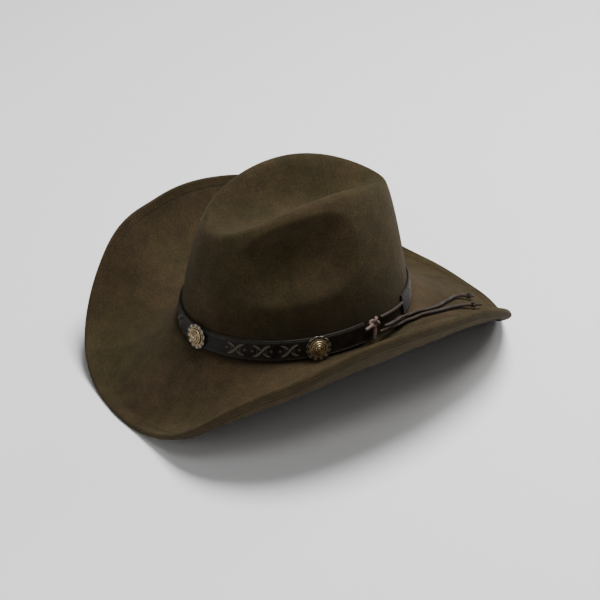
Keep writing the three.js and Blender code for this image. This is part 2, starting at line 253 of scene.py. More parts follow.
def beside_wall(angle, rise, away):
    angle, rise, away = np.broadcast_arrays(column(angle), column(rise), column(away))
    ridge = ridge_point(angle)
    return wall_point(angle, rise / ridge[..., 2]) + outward(angle) * away[..., None]


def wall_normal(angle, rise):
    reach = 0.25 * BAND_HEIGHT
    up = beside_wall(angle, rise + reach, 0) - beside_wall(angle, rise - reach, 0)
    across = beside_wall(angle + 0.01, rise, 0) - beside_wall(angle - 0.01, rise, 0)
    return unit(np.cross(across, up))


def brim_normal(angle, share):
    share = column(share)
    along = brim_point(angle, share + 0.01) - brim_point(angle, np.maximum(share - 0.01, 0))
    across = brim_point(column(angle) + 0.01, share) - brim_point(column(angle) - 0.01, share)
    return unit(np.cross(along, across))


def in_metres(points):
    return (np.asarray(points, dtype=float).reshape(-1, 3) + BREAK) * MM


def make_object(name, points, faces, material, smooth=True):
    mesh = bpy.data.meshes.new(name)
    mesh.from_pydata([tuple(p) for p in points], [], [tuple(int(i) for i in f) for f in faces])
    mesh.validate()
    mesh.update()
    mesh.polygons.foreach_set("use_smooth", [smooth] * len(mesh.polygons))
    piece = bpy.data.objects.new(name, mesh)
    bpy.context.scene.collection.objects.link(piece)
    mesh.materials.append(material)
    return piece


def mark(piece, name, values):
    """Keeps one number per point of a piece for its material."""
    attribute = piece.data.attributes.new(name, "FLOAT", "POINT")
    attribute.data.foreach_set("value", np.asarray(values, dtype=np.float32).ravel())


def turned_over(faces):
    """The same faces, looking the other way."""
    return [tuple(reversed(face)) for face in faces]


def grid_faces(rows, columns, closed_rows=False, closed_columns=False):
    """Four-sided faces of a grid of points, counted row by row."""
    i = np.arange(rows if closed_rows else rows - 1)
    j = np.arange(columns if closed_columns else columns - 1)
    i, j = np.meshgrid(i, j, indexing="ij")
    a = i * columns + j
    b = i * columns + (j + 1) % columns
    c = (i + 1) % rows * columns + (j + 1) % columns
    d = (i + 1) % rows * columns + j
    return np.stack([a, d, c, b], axis=-1).reshape(-1, 4)


def settle(piece, slot, *nodes):
    """Puts a finished piece on the frame in place of its plain solids."""
    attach(piece, "root")
    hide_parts(*nodes)


def new_material(name, color, roughness, metallic=0.0):
    material = bpy.data.materials.new(name)
    material.use_nodes = True
    shader = material.node_tree.nodes["Principled BSDF"]
    shader.inputs["Base Color"].default_value = (*color, 1)
    shader.inputs["Roughness"].default_value = roughness
    shader.inputs["Metallic"].default_value = metallic
    return material, material.node_tree, shader


def noise(tree, place, scale, detail, roughness=0.6):
    node = tree.nodes.new("ShaderNodeTexNoise")
    node.inputs["Scale"].default_value = scale
    node.inputs["Detail"].default_value = detail
    node.inputs["Roughness"].default_value = roughness
    tree.links.new(place, node.inputs["Vector"])
    return node.outputs["Fac"]


def ramp(tree, source, *stops):
    node = tree.nodes.new("ShaderNodeValToRGB")
    elements = node.color_ramp.elements
    while len(elements) < len(stops):
        elements.new(0.5)
    for element, (at, color) in zip(elements, stops):
        element.position = at
        element.color = (*color, 1) if len(color) == 3 else color
    tree.links.new(source, node.inputs["Fac"])
    return node.outputs["Color"]


def mix(tree, share, a, b, blend="MIX"):
    node = tree.nodes.new("ShaderNodeMix")
    node.data_type = "RGBA"
    node.blend_type = blend
    for socket, value in ((node.inputs[0], share), (node.inputs[6], a), (node.inputs[7], b)):
        if hasattr(value, "links"):
            tree.links.new(value, socket)
        elif isinstance(value, (int, float)):
            socket.default_value = value
        else:
            socket.default_value = (*value, 1)
    return node.outputs[2]


def relief(tree, shader, height, distance, strength=1.0, below=None):
    node = tree.nodes.new("ShaderNodeBump")
    node.inputs["Strength"].default_value = strength
    node.inputs["Distance"].default_value = distance
    tree.links.new(height, node.inputs["Height"])
    if below is not None:
        tree.links.new(below, node.inputs["Normal"])
    tree.links.new(node.outputs["Normal"], shader.inputs["Normal"])
    return node.outputs["Normal"]


def place_of(tree):
    return tree.nodes.new("ShaderNodeTexCoord").outputs["Object"]


def kept_number(tree, name):
    """The number that mark() kept on each point of a piece."""
    node = tree.nodes.new("ShaderNodeAttribute")
    node.attribute_name = name
    return node.outputs["Fac"]


def felt_material():
    material, tree, shader = new_material("wool_felt", (0.034, 0.024, 0.0115), 0.95)
    place = place_of(tree)
    clouds = noise(tree, place, 16, 5, 0.65)
    color = ramp(
        tree, clouds,
        (0.3, (0.025, 0.019, 0.0076)), (0.5, (0.033, 0.0236, 0.01)), (0.72, (0.044, 0.03, 0.0138)),
    )
    layers = (
        (620, 3, 0.7, (0.42, (0.8, 0.8, 0.8)), (0.62, (1.18, 1.16, 1.12))),
        (70, 4, 0.6, (0.38, (0.84, 0.85, 0.84)), (0.64, (1.16, 1.14, 1.12))),
        (11, 3, 0.55, (0.36, (0.95, 1.01, 0.95)), (0.64, (1.04, 0.97, 1.06))),
    )
    for scale, detail, roughness, low, high in layers:
        layer = ramp(tree, noise(tree, place, scale, detail, roughness), low, high)
        color = mix(tree, 1.0, color, layer, "MULTIPLY")
    # Painted shade in the crease under the tails and in the hollows between the edge rolls.
    color = mix(tree, kept_number(tree, "painted_groove_shade"), color, (0.01, 0.0075, 0.0035))
    # Painted shade round the crown's foot and on the brim next to it.
    color = mix(tree, kept_number(tree, "painted_foot_shade"), color, (0.009, 0.0058, 0.0032))
    tree.links.new(color, shader.inputs["Base Color"])
    shader.inputs["Sheen Weight"].default_value = 0.07
    shader.inputs["Sheen Roughness"].default_value = 0.6
    shader.inputs["Sheen Tint"].default_value = (0.5, 0.4, 0.26, 1)
    shader.inputs["Specular IOR Level"].default_value = 0.15
    nap = relief(tree, shader, noise(tree, place, 900, 4, 0.75), 0.0006, 0.6)
    relief(tree, shader, noise(tree, place, 170, 4, 0.6), 0.0009, 0.35, nap)
    return material


def leather_material(name, dark, light, gloss):
    material, tree, shader = new_material(name, light, gloss)
    shader.inputs["Specular IOR Level"].default_value = 0.25
    place = place_of(tree)
    color = ramp(tree, noise(tree, place, 90, 5, 0.65), (0.35, dark), (0.7, light))
    # Pieces marked paler are painted a lighter, redder brown.
    color = mix(tree, kept_number(tree, "paler"), color, (0.155, 0.098, 0.08))
    tree.links.new(color, shader.inputs["Base Color"])
    shine = ramp(tree, noise(tree, place, 130, 3), (0.3, (gloss - 0.1,) * 3), (0.7, (gloss + 0.12,) * 3))
    tree.links.new(shine, shader.inputs["Roughness"])
    relief(tree, shader, noise(tree, place, 420, 5, 0.7), 0.0005, 0.35)
    return material


def metal_material(name, dark, light, gloss):
    material, tree, shader = new_material(name, light, gloss, 0.9)
    place = place_of(tree)
    color = ramp(tree, noise(tree, place, 260, 5, 0.7), (0.36, dark), (0.62, light))
    color = mix(tree, kept_number(tree, "gilt"), color, (0.5, 0.38, 0.21))
    color = mix(tree, kept_number(tree, "sunk"), color, tuple(0.18 * c for c in dark))
    tree.links.new(color, shader.inputs["Base Color"])
    shine = ramp(tree, noise(tree, place, 500, 4), (0.3, (gloss - 0.1,) * 3), (0.7, (gloss + 0.15,) * 3))
    tree.links.new(shine, shader.inputs["Roughness"])
    relief(tree, shader, noise(tree, place, 700, 3), 0.0002, 0.3)
    return material


def band_material():
    """Dark tooled leather: sunk places are nearly black, raised ones rubbed browner."""
    material, tree, shader = new_material("tooled_leather", (0.01, 0.007, 0.006), 0.5)
    shader.inputs["Specular IOR Level"].default_value = 0.12
    place = place_of(tree)
    clouds = noise(tree, place, 110, 5, 0.65)
    color = ramp(tree, clouds, (0.35, (0.0065, 0.0053, 0.0037)), (0.72, (0.019, 0.0155, 0.0105)))
    color = mix(tree, kept_number(tree, "raised"), color, (0.1, 0.082, 0.062))
    tree.links.new(color, shader.inputs["Base Color"])
    relief(tree, shader, noise(tree, place, 480, 5, 0.7), 0.0004, 0.35)
    return material


def thread_material(name, color):
    material, tree, shader = new_material(name, color, 0.75)
    place = place_of(tree)
    twist = noise(tree, place, 1500, 2)
    shaded = tuple(0.6 * c for c in color)
    tone = ramp(tree, twist, (0.35, shaded), (0.65, color))
    tree.links.new(tone, shader.inputs["Base Color"])
    relief(tree, shader, twist, 0.0002, 0.5)
    return material


def set_camera():
    """The photograph's view: bearing, height, roll and picture shift were fitted to it."""
    bearing, height, roll = (math.radians(v) for v in (66.4, 31.051, -2.266))
    target = Vector((BREAK + np.array([0, 0, 40])) * MM)
    level = math.cos(height)
    back = Vector((math.sin(bearing) * level, -math.cos(bearing) * level, math.sin(height)))
    right = Vector((math.cos(bearing), math.sin(bearing), 0))
    up = back.cross(right)
    across = right * math.cos(roll) + up * math.sin(roll)
    upward = up * math.cos(roll) - right * math.sin(roll)
    data = bpy.data.cameras.new("camera")
    data.sensor_width = SENSOR
    data.lens = PHOTO_SCALE * CAMERA_DISTANCE * SENSOR / PHOTO_SIDE
    data.shift_x = (PHOTO_MIDDLE - 292.773) / PHOTO_SIDE
    data.shift_y = (264.452 - PHOTO_MIDDLE) / PHOTO_SIDE
    data.clip_end = 20
    camera = bpy.data.objects.new("camera", data)
    turn = Matrix((across, upward, back)).transposed().to_4x4()
    camera.matrix_world = Matrix.Translation(target + back * (CAMERA_DISTANCE * MM)) @ turn
    bpy.context.scene.collection.objects.link(camera)
    bpy.context.scene.camera = camera


def add_light(name, size, power, place, aim=(0, 0, 0.08)):
    data = bpy.data.lights.new(name, "AREA")
    data.shape = "DISK"
    data.size = size
    data.energy = power
    light = bpy.data.objects.new(name, data)
    light.location = place
    light.rotation_euler = (Vector(aim) - Vector(place)).to_track_quat("-Z", "Y").to_euler()
    bpy.context.scene.collection.objects.link(light)


def set_studio():
    material = new_material("studio_floor", (0.85, 0.85, 0.85), 0.85)[0]
    half = 12.0
    corners = [(-half, -half, 0), (half, -half, 0), (half, half, 0), (-half, half, 0)]
    floor = make_object("studio_floor", corners, [(0, 1, 2, 3)], material, smooth=False)
    world = bpy.data.worlds.new("studio")
    world.use_nodes = True
    background = world.node_tree.nodes["Background"]
    background.inputs["Color"].default_value = (1, 1, 1, 1)
    background.inputs["Strength"].default_value = 0.16
    bpy.context.scene.world = world
    add_light("key", 0.9, 64, (-0.1, 0.55, 1.9))
    add_light("rear", 0.7, 13, (-0.5, 1.8, 1.1))
    add_light("front_fill", 1.2, 6, (1.0, -1.5, 1.0))
    add_light("near_fill", 0.6, 6, (1.0, -0.1, 1.8))


def smooth_line(points, count):
    """Even steps along a centripetal Catmull-Rom curve through the points."""
    points = np.asarray(points, dtype=float)
    ends = np.vstack([2 * points[0] - points[1], points, 2 * points[-1] - points[-2]])
    fine = []
    for k in range(len(points) - 1):
        p0, p1, p2, p3 = ends[k:k + 4]
        pairs = ((p0, p1), (p1, p2), (p2, p3))
        d0, d1, d2 = (np.sqrt(max(np.linalg.norm(b - a), 1e-6)) for a, b in pairs)
        m1 = ((p1 - p0) / d0 - (p2 - p0) / (d0 + d1) + (p2 - p1) / d1) * d1
        m2 = ((p2 - p1) / d1 - (p3 - p1) / (d1 + d2) + (p3 - p2) / d2) * d1
        t = np.linspace(0, 1, 40, endpoint=False)[:, None]
        square = -3 * p1 + 3 * p2 - 2 * m1 - m2
        cube = 2 * p1 - 2 * p2 + m1 + m2
        fine.append(p1 + m1 * t + square * t**2 + cube * t**3)
    fine = np.vstack([*fine, points[-1:]])
    length = np.concatenate([[0], np.cumsum(np.linalg.norm(np.diff(fine, axis=0), axis=1))])
    stops = np.linspace(0, length[-1], count)
    return np.stack([np.interp(stops, length, fine[:, k]) for k in range(3)], axis=1)


def line_frames(line):
    """Directions along a line and two more across it, turning as little as they can."""
    along = unit(np.gradient(line, axis=0))
    side = np.zeros_like(line)
    first = np.cross(along[0], (0, 0, 1.0))
    side[0] = unit(first if np.linalg.norm(first) > 0.1 else np.cross(along[0], (1.0, 0, 0)))
    for i in range(1, len(line)):
        side[i] = unit(side[i - 1] - along[i] * (side[i - 1] @ along[i]))
    return along, side, np.cross(along, side)


def round_lace(line, radius, sides=16, closed=False):
    """Points and faces of a lace with closed, slightly rounded ends. Radius may vary along it."""
    line = np.asarray(line, dtype=float)
    along, side, up = line_frames(line)
    radius = np.broadcast_to(np.asarray(radius, dtype=float), (len(line),))
    turn = 2 * np.pi * np.arange(sides) / sides
    ring = np.cos(turn)[None, :, None] * side[:, None] + np.sin(turn)[None, :, None] * up[:, None]
    points = (line[:, None] + ring * radius[:, None, None]).reshape(-1, 3)
    faces = turned_over(grid_faces(len(line), sides, closed_rows=closed, closed_columns=True))
    if not closed:
        faces.append(tuple(reversed(range(sides))))
        faces.append(tuple(range(len(points) - sides, len(points))))
    return points, faces


def worn_radius(count, radius, seed, spread=0.05):
    """A lace's thickness, a little uneven along its length, with its cut ends eased."""
    rng = np.random.default_rng(seed)
    knots = rng.uniform(1 - spread, 1, max(4, count // 12))
    even = np.interp(np.linspace(0, 1, count), np.linspace(0, 1, len(knots)), knots)
    ease = np.ones(count)
    ease[[0, -1]] = 0.72
    ease[[1, -2]] = 0.94
    return radius * even * ease


def joined(parts):
    """One list of points and faces from several."""
    points, faces, start = [], [], 0
    for some, some_faces in parts:
        points.append(some)
        faces += [tuple(int(i) + start for i in f) for f in some_faces]
        start += len(some)
    return np.vstack(points), faces


def tail_points(name):
    route = np.array(TAIL_ROUTES[name], dtype=float)
    angle = np.radians(route[:, 0])
    rise = 0.5 * LACE + FELT_CLEARANCE + route[:, 2]
    return brim_point(angle, route[:, 1]) + brim_normal(angle, route[:, 1]) * rise[:, None]


def overhand_loops(size, strand, steps=96):
    """A pulled-tight knot: one closed strand that winds three times through itself."""
    t = 2 * np.pi * np.arange(steps) / steps
    x = np.sin(t) + 2 * np.sin(2 * t)
    y = np.cos(t) - 2 * np.cos(2 * t)
    line = np.stack([x, y, -1.35 * np.sin(3 * t)], axis=1)
    line *= (0.5 * size - strand) / 3.0
    return round_lace(line, strand, 12, closed=True)


def turned_to(points, axis, place, roll=0.0):
    """Points made about +Z, turned to an axis and moved to a place."""
    quaternion = Vector((0, 0, 1)).rotation_difference(Vector(axis))
    matrix = np.array((quaternion.to_matrix() @ Matrix.Rotation(roll, 3, "Z")))
    return points @ matrix.T + place


def make_tails(material):
    for index, name in enumerate(("upper", "lower")):
        coarse = tail_points(name)
        line = smooth_line(coarse, 150)
        points, faces = round_lace(line, worn_radius(len(line), 0.5 * LACE, 7 + index))
        tail = make_object(f"tail_{name}", in_metres(points), faces, material)
        settle(tail, "lace_leather", f"lace_tail_{name}")

        end = coarse[-1]
        direction = unit(coarse[-1] - coarse[-2])
        core = 0.5 * END_KNOT * direction + end + CLEARANCE * direction
        loops, loop_faces = overhand_loops(END_KNOT * 1.06, 0.95, 72)
        stub_end = end + direction * (CLEARANCE + END_KNOT + TAIL_STUBS[name])
        stub_line = smooth_line([core, 0.5 * (core + stub_end), stub_end], 26)
        stub = round_lace(stub_line, worn_radius(26, 0.45 * END_KNOT / 2, 20 + index, 0.08), 12)
        knot_points, knot_faces = joined([(turned_to(loops, direction, core), loop_faces), stub])
        knot = make_object(f"end_knot_{name}", in_metres(knot_points), knot_faces, material)
        settle(knot, "lace_leather", f"lace_end_knot_{name}")

        path = in_metres(smooth_line(coarse, 36))


def make_knot(material):
    """The tie at the wearer's left: a full knot, two stubs and the lace that goes to the band."""
    angle = math.radians(KNOT_ANGLE)
    out = outward(column(angle))[0]
    middle = beside_wall(angle, KNOT_RISE, 0.5 * KNOT_DEEP * KNOT_SIZE + CLEARANCE)[0]
    side = np.array([-out[1], out[0], 0])
    loops, loop_faces = overhand_loops(KNOT_SIZE * 1.04, 1.55)
    loops = loops * np.array([1.0, 1.0, 0.92])
    parts = [(turned_to(loops, out, middle, 0.4), loop_faces)]
    for index, (sideways, outwards, upwards) in enumerate(KNOT_STUBS):
        tip = middle + KNOT_SIZE * (sideways * side + outwards * out + np.array([0, 0, upwards]))
        bow = 0.5 * (middle + tip) + 0.06 * KNOT_SIZE * out
        line = smooth_line([middle, bow, tip], 40)
        parts.append(round_lace(line, worn_radius(40, 0.5 * LACE, 3 + index, 0.08)))
    points, faces = joined(parts)
    knot = make_object("knot", in_metres(points), faces, material)
    # The whole knot is painted paler than the tails.
    mark(knot, "paler", np.full(len(points), 0.8))
    settle(knot, "lace_leather", "tie_knot")

    route = np.array(LINK_ROUTE)
    away = 0.5 * LACE + FELT_CLEARANCE
    line = smooth_line(beside_wall(np.radians(route[:, 0]), route[:, 1], away), 70)
    points, faces = round_lace(line, worn_radius(70, 0.5 * LACE, 5))
    settle(make_object("lace_to_band", in_metres(points), faces, material), "lace_leather", "lace_link")


def soft_wave(angle, share, seed, size):
    """Low, slow unevenness of worked felt."""
    rng = random.Random(seed)
    wave = 0 * angle
    for _ in range(9):
        turns = rng.randint(2, 9)
        pulls = rng.uniform(1.0, 4.5)
        height = rng.uniform(-1, 1)
        start = rng.uniform(0, 6.3)
        wave = wave + height * np.cos(turns * angle + pulls * share * math.pi + start)
    return wave * size / 3


def crease_depth(points):
    """How far the brim's face sinks along the crease under the tails."""
    route = np.array(CREASE_ROUTE)
    line = smooth_line(brim_point(np.radians(route[:, 0]), route[:, 1]), 120)
    near = np.full(points.shape[:-1], 1e9)
    for spot in line:
        near = np.minimum(near, np.linalg.norm(points - spot, axis=-1))
    return CREASE_DEPTH * bump(near, CREASE_HALF_WIDTH)


def edge_rolls(from_edge, angle):
    """Height of the uneven rolls that run along the turned side of the edge."""
    drift = 0.5 * np.sin(3 * angle + 0.8) + 0.35 * np.sin(7 * angle + 2.1)
    fade = np.clip((from_edge - 0.6) / 1.2, 0, 1) * np.clip((14 - from_edge) / 4, 0, 1)
    return fade * np.cos(2 * np.pi * (from_edge + drift) / ROLL_SPACING)


def brim_shares(width):
    """Shares of the brim's width, ring by ring, finer over the turned edge."""
    turned_at = 1 - EDGE_TURN / width
    flat = np.linspace(0, 1, 34)[1:]
    inner = (1 - (1 - flat) ** 1.3)[None, :] * (turned_at - 0.6 / width)[:, None]
    border = turned_at[:, None] + (1 - turned_at)[:, None] * np.linspace(0, 1, BORDER_RINGS)[None, :]
    return np.concatenate([inner, border], axis=1)


def face_directions(face):
    """Directions down the rings of a face, and away from it."""
    before = np.concatenate([face[:, :1], face[:, :-1]], axis=1)
    after = np.concatenate([face[:, 1:], face[:, -1:]], axis=1)
    along = unit(after - before)
    across = np.roll(face, -1, axis=0) - np.roll(face, 1, axis=0)
    return along, unit(np.cross(along, across))


def rounded_nose(upper, under, along):
    """Rings that round the brim's edge from the upper face to the under face."""
    middle = 0.5 * (upper + under)
    half = 0.5 * (upper - under)
    rings = []
    for turn in np.linspace(0, np.pi, NOSE_RINGS + 2)[1:-1]:
        rings.append(middle + half * math.cos(turn) + along * EDGE_NOSE * math.sin(turn))
    return np.stack(rings, axis=1)


def felt_mesh(rings):
    """Points and faces of the felt, closed at the dish's middle above and below."""
    tall = rings.shape[1]
    points = rings.reshape(-1, 3)
    faces = turned_over(grid_faces(FELT_COLUMNS, tall, closed_rows=True))
    middle = 2 * RIDGE_SHIFT
    poles = np.array([[0, middle, DISH_FLOOR], [0, middle, DISH_FLOOR - FELT]])
    start = len(points)
    for i in range(FELT_COLUMNS):
        after = (i + 1) % FELT_COLUMNS
        faces.append((start, i * tall, after * tall))
        faces.append((start + 1, after * tall + tall - 1, i * tall + tall - 1))
    return np.vstack([points, poles]), faces


def mark_felt(felt, tall, angles, dish, wall, shares, crease, rolls):
    """Where the felt is painted darker as shade: round the crown's foot and on the brim beside it, in the
    crease and between the rolls.
    """
    on_wall = len(dish) + len(wall)
    rings = on_wall + shares.shape[1]
    turned = rings + NOSE_RINGS
    # Painted shade round the crown's foot, stronger on the wearer's left side.
    foot = 0.6 * (1 - np.clip(wall / 0.48, 0, 1)) ** 1.2
    rear = 1 + 0.6 * bump(np.degrees(angles) - 105, 50)
    painted_foot_shade = np.zeros((FELT_COLUMNS, tall))
    painted_foot_shade[:, len(dish):on_wall] = foot[None, :] * rear[:, None]
    # Painted shade on the brim next to the crown.
    painted_foot_shade[:, on_wall:rings] = 0.62 * (1 - np.clip(shares / 0.1, 0, 1)) ** 2
    # Painted shade along the crease and between the rolls of the turned edge.
    painted_groove_shade = np.zeros((FELT_COLUMNS, tall))
    painted_groove_shade[:, on_wall:rings] = 0.5 * crease / CREASE_DEPTH
    painted_groove_shade[:, turned:turned + shares.shape[1]] = 0.45 * np.clip(-rolls, 0, 1)[:, ::-1]
    for name, values in (("painted_foot_shade", painted_foot_shade), ("painted_groove_shade", painted_groove_shade)):
        mark(felt, name, np.concatenate([values.ravel(), [0, 0]]))


def make_felt(material):
    """Crown and brim as one thick sheet, from the dish's middle out to the turned edge."""
    angles = 2 * np.pi * np.arange(FELT_COLUMNS) / FELT_COLUMNS
    dish = np.linspace(0.02, 0.98, 26)
    wall = 1 - np.linspace(0, 1, 46) ** 1.25
    width = brim_row(angles)[0] * BRIM_WIDTH
    shares = brim_shares(width)
    wide = np.broadcast_to(angles[:, None], shares.shape)
    upper_dish = dish_point(*np.meshgrid(angles, dish, indexing="ij"))
    grid = np.meshgrid(angles, wall, indexing="ij")
    upper_wall = wall_point(*grid) + outward(grid[0]) * soft_wave(*grid, 4, 0.25)[..., None]
    upper_brim = brim_point(wide, shares)
    upper_brim[..., 2] += soft_wave(wide, shares, 9, 0.3) * np.sin(np.pi * shares)
    upper = np.concatenate([upper_dish, upper_wall, upper_brim], axis=1)
    along, normal = face_directions(upper)
    thickness = np.full(upper.shape[:2], FELT)
    thickness[:, -BORDER_RINGS:] = EDGE_THICKNESS
    under = upper - normal * thickness[..., None]
    lift = rest_lift(under[..., 2])
    upper[..., 2] += lift
    under[..., 2] += lift

    brim = slice(-shares.shape[1], None)
    seam_at = 1 - (EDGE_TURN - SEAM_INSET) / width
    seam = np.exp(-((shares - seam_at[:, None]) * width[:, None] / SEAM_HALF_WIDTH) ** 2)
    crease = crease_depth(upper_brim)
    upper[:, brim] -= normal[:, brim] * (crease + SEAM_DEPTH * seam)[..., None]
    rolls = edge_rolls((1 - shares) * width[:, None], wide)
    free = np.clip((under[:, brim, 2] + BREAK[2]) / 6, 0, 1)
    under[:, brim] -= normal[:, brim] * (ROLL_HEIGHT * free * rolls)[..., None]
    nose = rounded_nose(upper[:, -1], under[:, -1], along[:, -1])
    rings = np.concatenate([upper, nose, under[:, ::-1]], axis=1)
    points, faces = felt_mesh(rings)
    felt = make_object("felt", in_metres(points), faces, material)
    mark_felt(felt, rings.shape[1], angles, dish, wall, shares, crease, rolls)
    settle(felt, "felt", "felt_body")


def stitch_tree(name):
    """Short round-ended stitches laid end to end along a line."""
    tree = bpy.data.node_groups.new(name, "GeometryNodeTree")
    sockets = tree.interface
    sockets.new_socket("Line", in_out="INPUT", socket_type="NodeSocketGeometry")
    for label, value in (("Stitch spacing", 2.6), ("Stitch length", 2.0), ("Thread radius", 0.3)):
        socket = sockets.new_socket(label, in_out="INPUT", socket_type="NodeSocketFloat")
        socket.default_value = value * MM
    sockets.new_socket("Thread", in_out="INPUT", socket_type="NodeSocketMaterial")
    sockets.new_socket("Stitches", in_out="OUTPUT", socket_type="NodeSocketGeometry")
    nodes, links = tree.nodes, tree.links
    source = nodes.new("NodeGroupInput")
    result = nodes.new("NodeGroupOutput")
    curve = nodes.new("GeometryNodeMeshToCurve")
    spaced = nodes.new("GeometryNodeResampleCurve")
    spaced.mode = "LENGTH"
    tangent = nodes.new("GeometryNodeInputTangent")
    aim = nodes.new("FunctionNodeAlignRotationToVector")
    aim.axis = "Z"
    bead = nodes.new("GeometryNodeMeshUVSphere")
    bead.inputs["Segments"].default_value = 7
    bead.inputs["Rings"].default_value = 5
    bead.inputs["Radius"].default_value = 1
    thin = nodes.new("ShaderNodeCombineXYZ")
    half = nodes.new("ShaderNodeMath")
    half.operation = "MULTIPLY"
    half.inputs[1].default_value = 0.5
    place = nodes.new("GeometryNodeInstanceOnPoints")
    solid = nodes.new("GeometryNodeRealizeInstances")
    paint = nodes.new("GeometryNodeSetMaterial")
    links.new(source.outputs["Line"], curve.inputs["Mesh"])
    links.new(curve.outputs["Curve"], spaced.inputs["Curve"])
    links.new(source.outputs["Stitch spacing"], spaced.inputs["Length"])
    links.new(tangent.outputs["Tangent"], aim.inputs["Vector"])
    links.new(source.outputs["Stitch length"], half.inputs[0])
    links.new(source.outputs["Thread radius"], thin.inputs["X"])
    links.new(source.outputs["Thread radius"], thin.inputs["Y"])
    links.new(half.outputs["Value"], thin.inputs["Z"])
    links.new(spaced.outputs["Curve"], place.inputs["Points"])
    links.new(bead.outputs["Mesh"], place.inputs["Instance"])
    links.new(aim.outputs["Rotation"], place.inputs["Rotation"])
    links.new(thin.outputs["Vector"], place.inputs["Scale"])
    links.new(place.outputs["Instances"], solid.inputs["Geometry"])
    links.new(solid.outputs["Geometry"], paint.inputs["Geometry"])
    links.new(source.outputs["Thread"], paint.inputs["Material"])
    links.new(paint.outputs["Geometry"], result.inputs["Stitches"])
    return tree


def sew(name, tree, line, closed, spacing, length, radius, thread):
    """A row of stitches along a line of points in hat millimetres."""
    count = len(line)
    mesh = bpy.data.meshes.new(f"{name}_line")
    edges = [(i, i + 1) for i in range(count - 1)] + ([(count - 1, 0)] if closed else [])
    mesh.from_pydata([tuple(p) for p in in_metres(line)], edges, [])
    holder = bpy.data.objects.new(f"{name}_line", mesh)
    bpy.context.scene.collection.objects.link(holder)
    modifier = holder.modifiers.new("stitches", "NODES")
    modifier.node_group = tree
    values = {
        "Stitch spacing": spacing * MM, "Stitch length": length * MM,
        "Thread radius": radius * MM, "Thread": thread,
    }
    for item in tree.interface.items_tree:
        if item.in_out == "INPUT" and item.name in values:
            modifier[item.identifier] = values[item.name]
    bpy.context.view_layer.update()
    evaluated = holder.evaluated_get(bpy.context.evaluated_depsgraph_get())
    stitches = bpy.data.meshes.new_from_object(evaluated)
    stitches.name = name
    holder.modifiers.remove(modifier)
    bpy.data.objects.remove(holder)
    stitches.polygons.foreach_set("use_smooth", [True] * len(stitches.polygons))
    piece = bpy.data.objects.new(name, stitches)
    bpy.context.scene.collection.objects.link(piece)
    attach(piece, "root")


def edge_stitches(tree, thread):
    """Thread that holds the turned edge, on the upper face and on the turned side."""
    angles = 2 * np.pi * np.arange(720) / 720
    width = brim_row(angles)[0] * BRIM_WIDTH
    share = 1 - (EDGE_TURN - SEAM_INSET) / width
    normal = brim_normal(angles, share)
    upper = brim_point(angles, share)
    under = upper - normal * EDGE_THICKNESS
    lift = rest_lift(under[:, 2])
    upper[:, 2] += lift
    under[:, 2] += lift
    under[:, 2] = np.maximum(under[:, 2], 0.35 - BREAK[2])
    sew("edge_stitches_upper", tree, upper - normal * 0.15, True, 3.4, 2.5, 0.26, thread)
    sew("edge_stitches_under", tree, under, True, 3.4, 2.5, 0.3, thread)


def segment_distance(x, y, x0, y0, x1, y1):
    dx, dy = x1 - x0, y1 - y0
    t = np.clip(((x - x0) * dx + (y - y0) * dy) / (dx * dx + dy * dy), 0, 1)
    return np.hypot(x - x0 - t * dx, y - y0 - t * dy), t


def raise_to(raised, where, height):
    return np.where(where, np.maximum(raised, height), raised)


def tooling(length, rise, cross_places):
    """Raised work on the band: crossed strands that meet in points, and a line near each edge."""
    raised = np.zeros_like(length)
    height = rise - 0.5 * BAND_HEIGHT
    for place in cross_places:
        x = length - place
        near = np.abs(x) < 12
        for tilt, broad in ((1, 1.0), (-1, 0.55)):
            bend = 1.1 * np.sin(np.pi * np.clip(x / 7.0, -1, 1))
            distance, t = segment_distance(x, height * tilt - bend, -6.8, -4.6, 6.8, 4.6)
            strand = 0.35 + 0.75 * broad * np.sin(np.pi * t)
            over = np.where((tilt < 0) & (np.abs(x) < 1.5), 0.25, 1.0)
            raised = raise_to(raised, near, over * np.clip(1.5 - distance / strand, 0, 1))
        for side in (1, -1):
            dot = np.hypot(x - side * 7.8, height)
            raised = raise_to(raised, near, 0.75 * np.clip(1.5 - dot, 0, 1))
            loop = np.abs(np.hypot(x - side * 8.2, height) - 4.6)
            beside = near & (np.abs(height) < 5.4) & (np.abs(x) < 7.4)
            raised = raise_to(raised, beside, 0.45 * np.clip(1.2 - loop / 0.45, 0, 1))
    for line in (2.6, BAND_HEIGHT - 2.6):
        raised = np.maximum(raised, 0.3 * np.clip(1 - np.abs(rise - line) / 0.5, 0, 1))
    return np.clip(raised, 0, 1)


